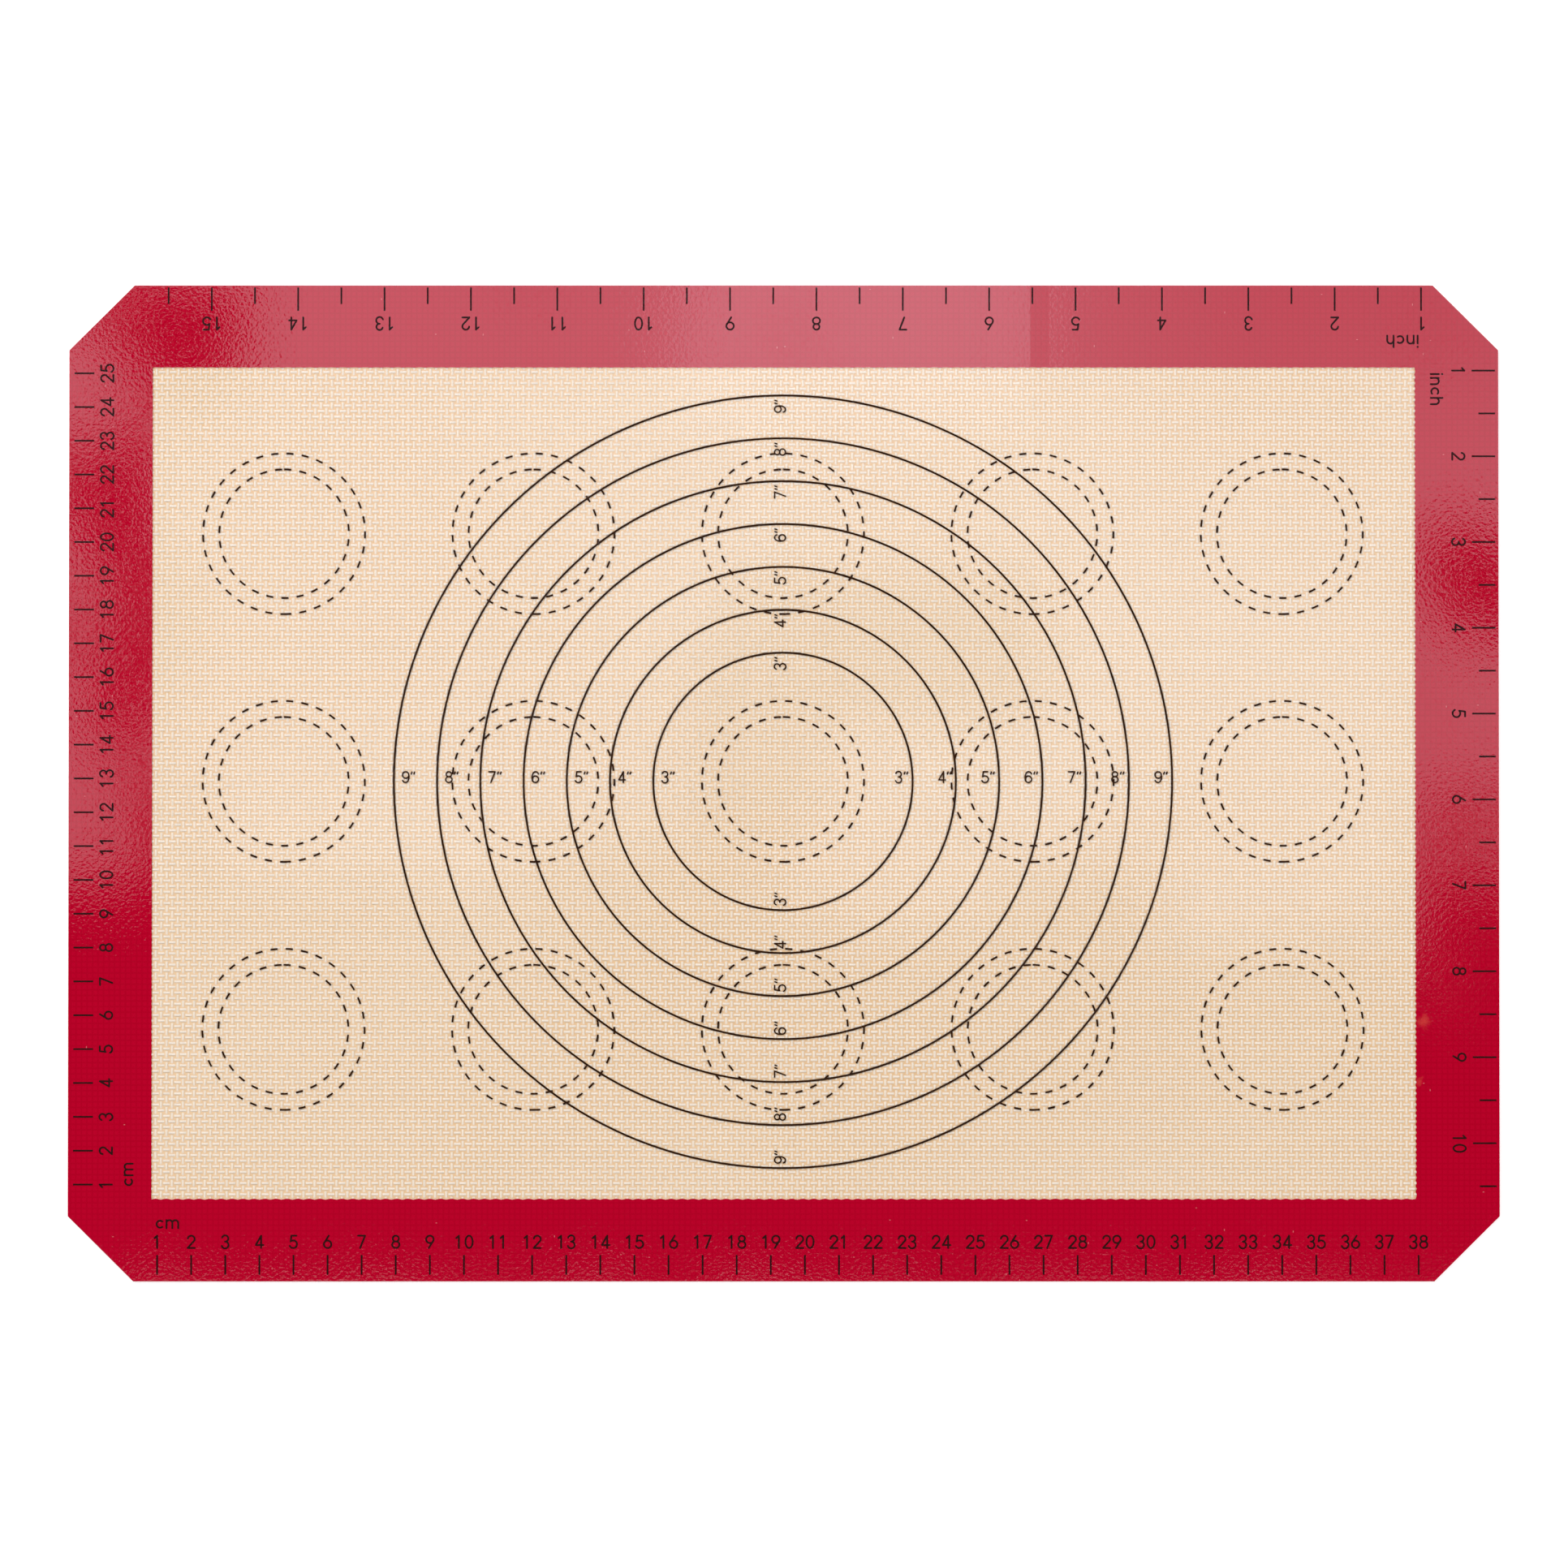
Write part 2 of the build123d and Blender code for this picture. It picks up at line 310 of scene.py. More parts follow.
# %% Softbox seen by the gloss
softbox_height = 0.6
softbox_half_x = 0.3
softbox_half_y = 0.25
softbox_tint = (1.0, 0.95, 1.06, 1.0)
stretch = 1.0 + softbox_height / camera_place.z
shift = softbox_height * math.tan(camera_tilt)

softbox_material = bpy.data.materials.new("softbox_light")
softbox_material.use_nodes = True
tree = softbox_material.node_tree
tree.nodes.clear()
spot = place(tree)
mat_x = maths(tree, "DIVIDE", spot.outputs["X"], stretch * MM)
mat_y = maths(tree, "DIVIDE", maths(tree, "SUBTRACT", spot.outputs["Y"], shift), stretch * MM)


def inside(left, right, near, far, edge=6.0):
    """1 inside a rectangle on the mat, 0 outside it."""
    sides = (
        remap(tree, mat_x, left - edge, left + edge),
        remap(tree, mat_x, right - edge, right + edge, 1.0, 0.0),
        remap(tree, mat_y, near - edge, near + edge),
        remap(tree, mat_y, far - edge, far + edge, 1.0, 0.0),
    )
    share = sides[0]
    for side in sides[1:]:
        share = maths(tree, "MULTIPLY", share, side)
    return share


print("softbox", 2 * softbox_half_x, "x", 2 * softbox_half_y, "m, at", softbox_height, "m")

# %% [markdown]
# Which parts of the softbox are lit
#
# Each rectangle is given by its left, right, near and far side. Where the mat stands up or sinks a
# little, it catches less of the light: there a rectangle takes away a share of the cover.

# %% Lit parts of the softbox
lit = (
    (-260, -186, -30, 200),
    (-188, -74, -26, 200),
    (-76, -27, -14, 200),
    (-29, 3, -8, 200),
    (1, 62, -42, 200),
    (60, 113, -24, 200),
    (111, 190, -46, 200),
    (188, 260, -70, 200),
    (-260, 260, -190, -148),
)
weakened = (
    ((-20, 76, 16, 62), 1.0),
    ((-28, 12, -12, 40), 1.0),
    ((-182, -162, 116, 150), 0.9),
    ((-260, -186, 8, 160), 0.42),
    ((-199, -186, -12, 104), 0.6),
    ((-187, -166, -40, 118), 0.45),
    ((-190, -140, 116, 160), 0.3),
    ((187, 260, 40, 75), 0.62),
    ((187, 260, -34, 0), 0.6),
    ((187, 260, -80, -34), 0.66),
    ((-260, 260, -190, -130), 0.5),
)
cover = inside(*lit[0])
for rectangle in lit[1:]:
    cover = maths(tree, "MAXIMUM", cover, inside(*rectangle))
for rectangle, share in weakened:
    lost = maths(tree, "MULTIPLY", inside(*rectangle), share)
    cover = maths(tree, "MULTIPLY", cover, maths(tree, "SUBTRACT", 1.0, lost))

islands_per_metre = 45.0
island_depth = 1.3
ragged = maths(tree, "SUBTRACT", speckle(tree, islands_per_metre, 1.0), 0.5)
ragged = maths(tree, "MULTIPLY", ragged, island_depth)
cut_out = remap(tree, maths(tree, "ADD", cover, ragged), 0.44, 0.56)

plain_level = 3.0
middle_gain = 1.7
right_loss = 0.7
near_share = 0.74
gain = maths(tree, "MULTIPLY", inside(-32, 72, 106, 210), middle_gain)
loss = maths(tree, "MULTIPLY", inside(110, 260, 106, 210, 30), right_loss)
strength = maths(tree, "SUBTRACT", maths(tree, "ADD", plain_level, gain), loss)
strength = maths(tree, "MULTIPLY", strength, remap(tree, mat_y, -30.0, 110.0, near_share, 1.0))
glow = maths(tree, "MULTIPLY", cut_out, strength)
emitter = add(tree, "ShaderNodeEmission", softbox_tint, glow)
add(tree, "ShaderNodeOutputMaterial", emitter.outputs[0])

softbox_mesh = bpy.data.meshes.new("softbox")
softbox_mesh.from_pydata(
    [
        (x * softbox_half_x, shift + y * softbox_half_y, softbox_height)
        for x, y in ((-1, -1), (-1, 1), (1, 1), (1, -1))
    ],
    [],
    [(0, 1, 2, 3)],
)
softbox = link_object("softbox", softbox_mesh, softbox_material)
softbox.visible_camera = False
softbox.visible_diffuse = False
softbox.visible_transmission = False
softbox.visible_shadow = False

print("softbox: lit in", len(lit), "rectangles, weakened in", len(weakened))

# %% [markdown]
# Yarn finishes
#
# The glass yarn is white. Where a yarn rises to the surface it shows as a pale dash, and where it
# dives it is seen through more and more silicone, so it takes the silicone's beige. The height of
# the point on the yarn decides the colour, so one material does for all yarns of a direction.

# %% Materials of the cloth
fibres_per_metre = 2600.0
fibre_share = 0.12


def yarn_material(name, crown_colour, flank_colour, low, high):
    """Glass yarn in silicone: beige where it is deep, pale where it comes up."""
    made, tree, shader = new_material(name)
    height = maths(tree, "DIVIDE", place(tree).outputs["Z"], MM)
    share = remap(tree, height, low, high, smooth=True)
    colour = blend_colours(tree, share, flank_colour, crown_colour)
    fibres = remap(tree, speckle(tree, fibres_per_metre), 0.3, 0.7, 0.0, fibre_share)
    colour = blend_colours(tree, fibres, colour, flank_colour)
    fill(tree, shader.inputs["Base Color"], colour)
    shader.inputs["Roughness"].default_value = 0.6
    shader.inputs["Specular IOR Level"].default_value = 0.2
    return made


flank_beige = srgb(236, 205, 169)
weft_material = yarn_material("glass_weft", srgb(243, 231, 218), flank_beige, 0.522, 0.566)
warp_material = yarn_material("glass_warp", srgb(242, 228, 212), flank_beige, 0.520, 0.558)
print("cloth materials: 2")

# %% [markdown]
# The woven cloth
#
# A plain weave repeats one thing: a yarn that goes over one cross yarn and under the next. Geometry
# Nodes draws one such yarn as a zigzag of four points for each wave, flat at the crown and flat in
# the dip, gives it a flattened section of a few sides, and repeats it in rows. Every second row
# starts half a wave later. The same tree makes the weft, which runs along the mat, and the warp,
# which runs across it and is high where the weft is low. Only the window shows the cloth, so the
# yarns end a little way under the band.

# %% One waved yarn


def waved_line(tree, given):
    """The middle line of a yarn, over one cross yarn and under the next."""
    index = add(tree, "GeometryNodeInputIndex").outputs[0]
    wave = maths(tree, "FLOOR", maths(tree, "DIVIDE", index, 4.0))
    step = maths(tree, "MODULO", index, 4.0)
    in_dip = maths(tree, "FLOOR", maths(tree, "DIVIDE", step, 2.0))
    odd = maths(tree, "MODULO", index, 2.0)
    side = maths(tree, "SUBTRACT", maths(tree, "MULTIPLY", odd, 2.0), 1.0)
    reach = add(tree, "ShaderNodeMix", in_dip, given["Crown Half"], given["Dip Half"])
    height = add(tree, "ShaderNodeMix", in_dip, given["Crown Height"], given["Dip Height"])
    waves_before = maths(tree, "ADD", wave, maths(tree, "MULTIPLY", in_dip, 0.5))
    along = maths(tree, "MULTIPLY", waves_before, given["Wave Length"])
    along = maths(tree, "ADD", along, maths(tree, "MULTIPLY", side, reach.outputs[0]))
    along = maths(tree, "ADD", along, given["Start"])
    line = add(tree, "GeometryNodeMeshLine", maths(tree, "MULTIPLY", given["Waves"], 4.0))
    where = add(tree, "ShaderNodeCombineXYZ", along, 0.0, height.outputs[0])
    waved = add(tree, "GeometryNodeSetPosition", line.outputs[0], True, where.outputs[0])
    centre = add(tree, "GeometryNodeMeshToCurve", waved.outputs[0])
    upright = add(tree, "GeometryNodeSetCurveNormal", centre.outputs[0])
    upright.mode = "Z_UP"
    return upright.outputs[0]


def flat_section(tree, given):
    """The flattened section of a yarn."""
    ring = add(tree, "GeometryNodeCurvePrimitiveCircle", given["Sides"], 1.0)
    half_width = maths(tree, "MULTIPLY", given["Width"], 0.5)
    half_thickness = maths(tree, "MULTIPLY", given["Thickness"], 0.5)
    flat = add(tree, "ShaderNodeCombineXYZ", half_width, half_thickness, 1.0)
    spin = add(tree, "ShaderNodeCombineXYZ", 0.0, 0.0, given["Section Turn"])
    spun = add(tree, "GeometryNodeTransform", ring.outputs[0])
    fill(tree, spun.inputs["Rotation"], spin.outputs[0])
    section = add(tree, "GeometryNodeTransform", spun.outputs[0])
    fill(tree, section.inputs["Scale"], flat.outputs[0])
    return section.outputs[0]


print("yarn: a waved line with a flat section")

# %% Rows of yarns


def lay_rows(tree, given, yarn):
    """Repeats a yarn in rows, every second one half a wave later, and turns them all."""
    index = add(tree, "GeometryNodeInputIndex").outputs[0]
    first = add(tree, "ShaderNodeCombineXYZ", 0.0, given["First Yarn"], 0.0)
    next_one = add(tree, "ShaderNodeCombineXYZ", 0.0, given["Pitch"], 0.0)
    rows = add(tree, "GeometryNodeMeshLine", given["Yarns"], first.outputs[0], next_one.outputs[0])
    late = maths(tree, "MULTIPLY", maths(tree, "MODULO", index, 2.0), given["Wave Length"])
    late = add(tree, "ShaderNodeCombineXYZ", maths(tree, "MULTIPLY", late, 0.5), 0.0, 0.0)
    staggered = add(tree, "GeometryNodeSetPosition", rows.outputs[0])
    fill(tree, staggered.inputs["Offset"], late.outputs[0])
    laid = add(tree, "GeometryNodeInstanceOnPoints", staggered.outputs[0])
    fill(tree, laid.inputs["Instance"], yarn)
    turn = add(tree, "ShaderNodeCombineXYZ", 0.0, 0.0, given["Turn"])
    turned = add(tree, "GeometryNodeTransform", laid.outputs[0])
    fill(tree, turned.inputs["Rotation"], turn.outputs[0])
    return turned.outputs[0]


def name_inputs(tree, inputs):
    """Gives a tree its named inputs and its output, and returns the inputs."""
    for name, kind in inputs:
        tree.interface.new_socket(name, in_out="INPUT", socket_type="NodeSocket" + kind)
    tree.interface.new_socket("Geometry", in_out="OUTPUT", socket_type="NodeSocketGeometry")
    return add(tree, "NodeGroupInput").outputs


def weave_tree():
    """One bundle of waved yarns side by side."""
    tree = bpy.data.node_groups.new("weave", "GeometryNodeTree")
    given = name_inputs(
        tree,
        (
            ("Yarns", "Int"),
            ("Waves", "Int"),
            ("Sides", "Int"),
            ("Section Turn", "Float"),
            ("Wave Length", "Float"),
            ("Crown Half", "Float"),
            ("Dip Half", "Float"),
            ("Crown Height", "Float"),
            ("Dip Height", "Float"),
            ("Width", "Float"),
            ("Thickness", "Float"),
            ("Pitch", "Float"),
            ("First Yarn", "Float"),
            ("Start", "Float"),
            ("Turn", "Float"),
            ("Finish", "Material"),
        ),
    )
    yarn = add(tree, "GeometryNodeCurveToMesh", waved_line(tree, given), flat_section(tree, given))
    yarn.inputs["Fill Caps"].default_value = True
    rows = lay_rows(tree, given, yarn.outputs[0])
    real = add(tree, "GeometryNodeRealizeInstances", rows)
    smooth = add(tree, "GeometryNodeSetShadeSmooth", real.outputs[0])
    painted = add(tree, "GeometryNodeSetMaterial", smooth.outputs[0])
    fill(tree, painted.inputs["Material"], given["Finish"])
    add(tree, "NodeGroupOutput", painted.outputs[0])
    return tree


weave = weave_tree()
print("weave tree:", len(weave.nodes), "nodes")

# %% [markdown]
# From a tree to a plain mesh
#
# A tree works on an object through a modifier, whose inputs are found by their identifiers. The
# evaluated result is kept as a plain mesh and the modifier goes, so that each piece stands alone.

# %% Run a tree


def run_tree(name, tree, **values):
    """Runs a Geometry Nodes tree with these inputs, and keeps the result as a plain mesh."""
    holder = bpy.data.objects.new(name, bpy.data.meshes.new(name))
    bpy.context.scene.collection.objects.link(holder)
    modifier = holder.modifiers.new("build", "NODES")
    modifier.node_group = tree
    named = {
        item.name.replace(" ", "_").lower(): item.identifier
        for item in tree.interface.items_tree
        if item.in_out == "INPUT"
    }
    for key, value in values.items():
        modifier[named[key]] = value
    bpy.context.view_layer.update()
    evaluated = holder.evaluated_get(bpy.context.evaluated_depsgraph_get())
    mesh = bpy.data.meshes.new_from_object(evaluated)
    holder.modifiers.remove(modifier)
    holder.data = mesh
    mesh.name = name
    return holder


print("ready to run trees")

# %% [markdown]
# Weft and warp
#
# The weft makes the dashes that the eye sees first, so its crowns lie highest and are the longest.
# The warp stays a little lower. A crown of one always lies over a dip of the other. The section has
# five sides and is turned so that one of them lies flat on top. Each direction is split into
# bundles, so that no piece grows too heavy, and each bundle has an even number of yarns, which
# keeps the stagger going from one to the next.

# %% Weft and warp bundles
window_columns = 234
window_rows = 152
weft_bundles = (30, 30, 30, 30, 32)
warp_bundles = (60, 58, 58, 58)
section_turn = math.radians(54.0)
yarn_rise = 0.081
crown_gap = 0.008
weft_crown_height = cloth_top - crown_gap - yarn_rise
warp_crown_height = weft_crown_height - 0.008
dip_height = 0.28


def lay_bundles(kind, counts, pitch, total, **yarn):
    """Makes all bundles of one direction, each a piece of its own."""
    made = []
    done = 0
    for number, count in enumerate(counts, 1):
        first = (done - (total - 1) / 2) * pitch
        name = f"{kind}_{number}"
        bundle = run_tree(name, weave, yarns=count, first_yarn=first * MM, pitch=pitch * MM, **yarn)
        made.append(bundle)
        done += count
        print(name, count_triangles(bundle), "triangles")
    return made


weft = lay_bundles(
    "weft",
    weft_bundles,
    weft_pitch,
    window_rows,
    waves=window_columns // 2,
    sides=5,
    section_turn=section_turn,
    wave_length=2 * warp_pitch * MM,
    crown_half=0.90 * MM,
    dip_half=0.31 * MM,
    crown_height=weft_crown_height * MM,
    dip_height=dip_height * MM,
    width=1.12 * MM,
    thickness=0.20 * MM,
    start=-(window_columns - 1) / 2 * warp_pitch * MM,
    turn=0.0,
    finish=weft_material,
)
warp = lay_bundles(
    "warp",
    warp_bundles,
    warp_pitch,
    window_columns,
    waves=window_rows // 2,
    sides=5,
    section_turn=section_turn,
    wave_length=2 * weft_pitch * MM,
    crown_half=0.88 * MM,
    dip_half=0.33 * MM,
    crown_height=warp_crown_height * MM,
    dip_height=dip_height * MM,
    width=1.16 * MM,
    thickness=0.20 * MM,
    start=-(window_rows - 1) / 2 * weft_pitch * MM,
    turn=math.pi / 2,
    finish=warp_material,
)

# %% [markdown]
# The silicone between the yarns
#
# The holes of the cloth are filled with beige silicone. It is one thin slab with the mat's outline
# and cut corners, a little lower than the crowns, so that the yarns come out of it. Real silicone
# is never one even colour: it is a little warmer and darker in wide soft clouds, and finely
# mottled.

# %% Silicone bed
bed_top = 0.532


def outline():
    """The mat's outline with its cut corners, in millimetres, anticlockwise."""
    x = mat_half_x
    y = mat_half_y
    cut = corner_cut
    return [
        (x, -y + cut),
        (x, y - cut),
        (x - cut, y),
        (-x + cut, y),
        (-x, y - cut),
        (-x, -y + cut),
        (-x + cut, -y),
        (x - cut, -y),
    ]


def slab(name, low, high, material):
    """A closed plate with the mat's outline between two heights."""
    corners = outline()
    count = len(corners)
    places = [(x * MM, y * MM, z * MM) for z in (low, high) for x, y in corners]
    faces = [list(range(count))[::-1], list(range(count, 2 * count))]
    for index in range(count):
        after = (index + 1) % count
        faces.append([index, after, after + count, index + count])
    mesh = bpy.data.meshes.new(name)
    mesh.from_pydata(places, [], faces)
    return link_object(name, mesh, material)


bed_material, tree, shader = new_material("beige_silicone")
clouds = remap(tree, speckle(tree, 7.0, 2.0), 0.35, 0.65, smooth=True)
mottle = remap(tree, speckle(tree, 900.0, 2.0), 0.3, 0.7)
colour = blend_colours(tree, clouds, srgb(236, 202, 163), srgb(231, 193, 149))
colour = blend_colours(tree, maths(tree, "MULTIPLY", mottle, 0.2), colour, srgb(239, 209, 173))
fill(tree, shader.inputs["Base Color"], colour)
shader.inputs["Roughness"].default_value = 0.55
shader.inputs["Specular IOR Level"].default_value = 0.2
bed = slab("silicone_bed", cloth_bottom, bed_top, bed_material)
print("bed from", cloth_bottom, "to", bed_top)

# %% [markdown]
# The coats
#
# The clear top coat is the solid model's own plate. What it adds is gloss: it lets nearly all
# light through and mirrors a few hundredths of it, more at a flat angle. A Transparent and a
# Glossy shader mixed by Fresnel do this without bending light, which so thin a film wouldn't show.
# Its skin follows the weave, which breaks the mirrored light into fine grain. The bottom coat is
# the same silicone over the cloth's underside.

# %% Reliefs of the skin


def weave_relief(tree):
    """A soft quilt over the yarns' crossings, from -1 to 1."""
    spot = place(tree)
    across = maths(tree, "MULTIPLY", spot.outputs["X"], math.pi / (warp_pitch * MM))
    along = maths(tree, "MULTIPLY", spot.outputs["Y"], math.pi / (weft_pitch * MM))
    return maths(tree, "MULTIPLY", maths(tree, "SINE", across), maths(tree, "SINE", along))


def fold_relief(tree):
    """The old fold that crosses the far band: 1 at its crest, 0 beside it and further in."""
    spot = place(tree)
    across = maths(tree, "DIVIDE", spot.outputs["X"], MM)
    along = maths(tree, "DIVIDE", spot.outputs["Y"], MM)
    rise = remap(tree, across, 60.0, 72.5)
    fall = remap(tree, across, 72.5, 78.0, 1.0, 0.0)
    crest = maths(tree, "MULTIPLY", rise, fall)
    return maths(tree, "MULTIPLY", crest, remap(tree, along, 85.0, 125.0))


def skin(tree, heights):
    """A Bump node for a skin whose heights, in millimetres, are the sum of these pairs."""
    total = 0.0
    for relief, millimetres in heights:
        total = maths(tree, "ADD", total, maths(tree, "MULTIPLY", relief, millimetres))
    bump = add(tree, "ShaderNodeBump")
    bump.inputs["Strength"].default_value = 1.0
    bump.inputs["Distance"].default_value = MM
    fill(tree, bump.inputs["Height"], total)
    return bump.outputs[0]


print("reliefs: quilt and fold")

# %% Coats
clear_material = bpy.data.materials.new("clear_silicone_coat")
clear_material.use_nodes = True
tree = clear_material.node_tree
tree.nodes.clear()

film_tint = (0.91, 0.94, 1.0, 1.0)
film_roughness = 0.08
film_ior = 1.35
mirror = add(tree, "ShaderNodeBsdfAnisotropic", film_tint, film_roughness)
film_skin = ((weave_relief(tree), 0.004), (speckle(tree, 1400.0), 0.005), (fold_relief(tree), 0.05))
fill(tree, mirror.inputs["Normal"], skin(tree, film_skin))
see_through = add(tree, "ShaderNodeBsdfTransparent")
fresnel = add(tree, "ShaderNodeFresnel", film_ior)
from_below = add(tree, "ShaderNodeNewGeometry").outputs["Backfacing"]
share = maths(tree, "MULTIPLY", fresnel.outputs[0], maths(tree, "SUBTRACT", 1.0, from_below))
film = add(tree, "ShaderNodeMixShader", share, see_through.outputs[0], mirror.outputs[0])
add(tree, "ShaderNodeOutputMaterial", film.outputs[0])

underside_material, tree, shader = new_material("underside_silicone")
quilt = remap(tree, weave_relief(tree), -1.0, 1.0)
colour = blend_colours(tree, quilt, srgb(226, 196, 163), srgb(238, 217, 194))
fill(tree, shader.inputs["Base Color"], colour)
shader.inputs["Roughness"].default_value = 0.35

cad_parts["top_coat"].data.materials[0] = clear_material
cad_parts["bottom_coat"].data.materials[0] = underside_material
print("coats: 2")

# %% [markdown]
# The red band
#
# The band is silicone ink printed thickly over the coat, so its skin is glossy and shows the
# quilt of the crossings below. The mesh is a fine grid over the band only. Its points are raised
# and sunk over the crossings, its inner edge runs in and out round the yarns, and its outer side
# turns down over the cut edge of the mat and seals it.

# %% Band grid
band_step_x = warp_pitch / 2
band_step_y = weft_pitch / 2
quilt_depth = 0.008


def grid_lines(half, inner, step):
    """Grid lines over one direction: regular ones, with exact lines at the edges."""
    count = int(half // step)
    lines = [index * step for index in range(-count, count + 1)]
    for exact in (-half, -inner, inner, half):
        lines = [line for line in lines if abs(line - exact) > step * 0.45]
        lines.append(exact)
    return sorted(lines)


def lay_grid(bm):
    """A flat grid over the band: the window is left out, and so is what lies past the corners."""
    lines_x = grid_lines(mat_half_x, window_half_x, band_step_x)
    lines_y = grid_lines(mat_half_y, window_half_y, band_step_y)
    past_corner = mat_half_x + mat_half_y - corner_cut + 2
    points = {}

    def point(i, j):
        if (i, j) not in points:
            points[i, j] = bm.verts.new((lines_x[i], lines_y[j], 0.0))
        return points[i, j]

    for i in range(len(lines_x) - 1):
        for j in range(len(lines_y) - 1):
            middle_x = abs(lines_x[i] + lines_x[i + 1]) / 2
            middle_y = abs(lines_y[j] + lines_y[j + 1]) / 2
            if middle_x < window_half_x and middle_y < window_half_y:
                continue
            if middle_x + middle_y > past_corner:
                continue
            bm.faces.new((point(i, j), point(i + 1, j), point(i + 1, j + 1), point(i, j + 1)))


def cut_corners(bm):
    """Cuts the grid off along the mat's four slanting corners."""
    for x in (-1, 1):
        for y in (-1, 1):
            corner = Vector((x * (mat_half_x - corner_cut), y * mat_half_y, 0.0))
            bmesh.ops.bisect_plane(
                bm,
                geom=bm.verts[:] + bm.edges[:] + bm.faces[:],
                dist=0.001,
                plane_co=corner,
                plane_no=Vector((x, y, 0.0)),
                clear_outer=True,
            )


def raise_quilt(bm):
    """Raises and sinks the skin over the crossings."""
    for vert in bm.verts:
        x, y = vert.co.x, vert.co.y
        bump = math.sin(math.pi * x / warp_pitch) * math.sin(math.pi * y / weft_pitch)
        vert.co.z = band_top - quilt_depth * (1 - bump)


print("band grid step", band_step_x, "x", band_step_y, "mm")

# %% [markdown]
# The edges of the band
#
# Squeegeed ink creeps over the yarns at the window, so the inner edge runs in and out with them, and
# the print as a whole sits a hair off its place. Outside, the ink wraps the cut edge of the mat. How
# far the edge runs and how far the print is off were measured for each side.

# %% Band edges
teeth = {"left": 0.06, "right": 0.16, "near": 0.14, "far": 0.04}
print_shift = {"left": 0.0, "right": 0.0, "near": 0.28, "far": 0.22}
window_foot = sheet_top - 0.005
skirt_bottom = 0.05
skirt_out = 0.04
corner_out = skirt_out * 0.7
near_window = 0.1
near_edge = 0.01


def at_window(vert):
    """Whether a point of the rim is on the window's side of the band."""
    in_x = abs(vert.co.x) < window_half_x + near_window
    in_y = abs(vert.co.y) < window_half_y + near_window
    return in_x and in_y


def wrap_edge(vert):
    """Moves a point of the outer rim out past the cut edge of the mat."""
    x, y = vert.co.x, vert.co.y
    if abs(x) + abs(y) > mat_half_x + mat_half_y - corner_cut - near_edge:
        vert.co.x += math.copysign(corner_out, x)
        vert.co.y += math.copysign(corner_out, y)
    elif abs(x) > mat_half_x - near_edge:
        vert.co.x += math.copysign(skirt_out, x)
    else:
        vert.co.y += math.copysign(skirt_out, y)


def creep(vert):
    """Moves a point of the window's edge in or out with the yarn that it lies on."""
    x, y = vert.co.x, vert.co.y
    if abs(x) > window_half_x - near_edge:
        side = "left" if x < 0 else "right"
        wave = -math.cos(2 * math.pi * y / weft_pitch)
        vert.co.x += (print_shift[side] + teeth[side] * wave) * math.copysign(1.0, x)
    if abs(y) > window_half_y - near_edge:
        side = "near" if y < 0 else "far"
        wave = -math.sin(math.pi * x / warp_pitch) * math.copysign(1.0, y)
        vert.co.y += (print_shift[side] + teeth[side] * wave) * math.copysign(1.0, y)


print("skirt from", skirt_bottom, "mm up, out by", skirt_out, "mm")

# %% Band mesh


def build_band(material):
    """The whole band as one closed mesh: quilted top, turned-down rims and a flat underside."""
    bm = bmesh.new()
    lay_grid(bm)
    cut_corners(bm)
    raise_quilt(bm)

    # Walls hang from the open edges
    rim = [edge for edge in bm.edges if edge.is_boundary]
    rim_verts = list({vert for edge in rim for vert in edge.verts})
    made = bmesh.ops.extrude_edge_only(bm, edges=rim)["geom"]
    below = [item for item in made if isinstance(item, bmesh.types.BMVert)]
    window_side = [vert for vert in rim_verts + below if at_window(vert)]
    tray_side = [vert for vert in rim_verts + below if not at_window(vert)]
    for vert in below:
        vert.co.z = window_foot if at_window(vert) else skirt_bottom
    for vert in tray_side:
        wrap_edge(vert)
    for vert in window_side:
        creep(vert)

    # The underside closes them
    foot = [item for item in made if isinstance(item, bmesh.types.BMEdge) and item.is_boundary]
    bmesh.ops.triangle_fill(bm, edges=foot, use_beauty=False)
    bmesh.ops.recalc_face_normals(bm, faces=bm.faces)
    for edge in rim + foot:
        edge.smooth = False
    for face in bm.faces:
        face.smooth = True
    for vert in bm.verts:
        vert.co *= MM
    print("red_band open edges:", sum(edge.is_boundary for edge in bm.edges))
    mesh = bpy.data.meshes.new("red_band")
    bm.to_mesh(mesh)
    bm.free()
    return link_object("red_band", mesh, material)


print("ready to build the band")

# %% [markdown]
# The finish of the band
#
# The red is a little deeper along the yarns, which carry the ink higher. A few pale specks and two
# worn spots on the right band show that the mat has been used. The skin is glossy, with fine grain.

# %% Wear of the band


def specks(tree, per_metre, stretch_x, stretch_y):
    """Tiny pale strokes, one in each cell of a random pattern."""
    spot = place(tree)
    wide = maths(tree, "MULTIPLY", spot.outputs["X"], stretch_x)
    deep = maths(tree, "MULTIPLY", spot.outputs["Y"], stretch_y)
    cells = add(tree, "ShaderNodeTexVoronoi", voronoi_dimensions="2D")
    fill(tree, cells.inputs["Vector"], add(tree, "ShaderNodeCombineXYZ", wide, deep).outputs[0])
    cells.inputs["Scale"].default_value = per_metre
    return remap(tree, cells.outputs["Distance"], 0.003, 0.008, 1.0, 0.0)


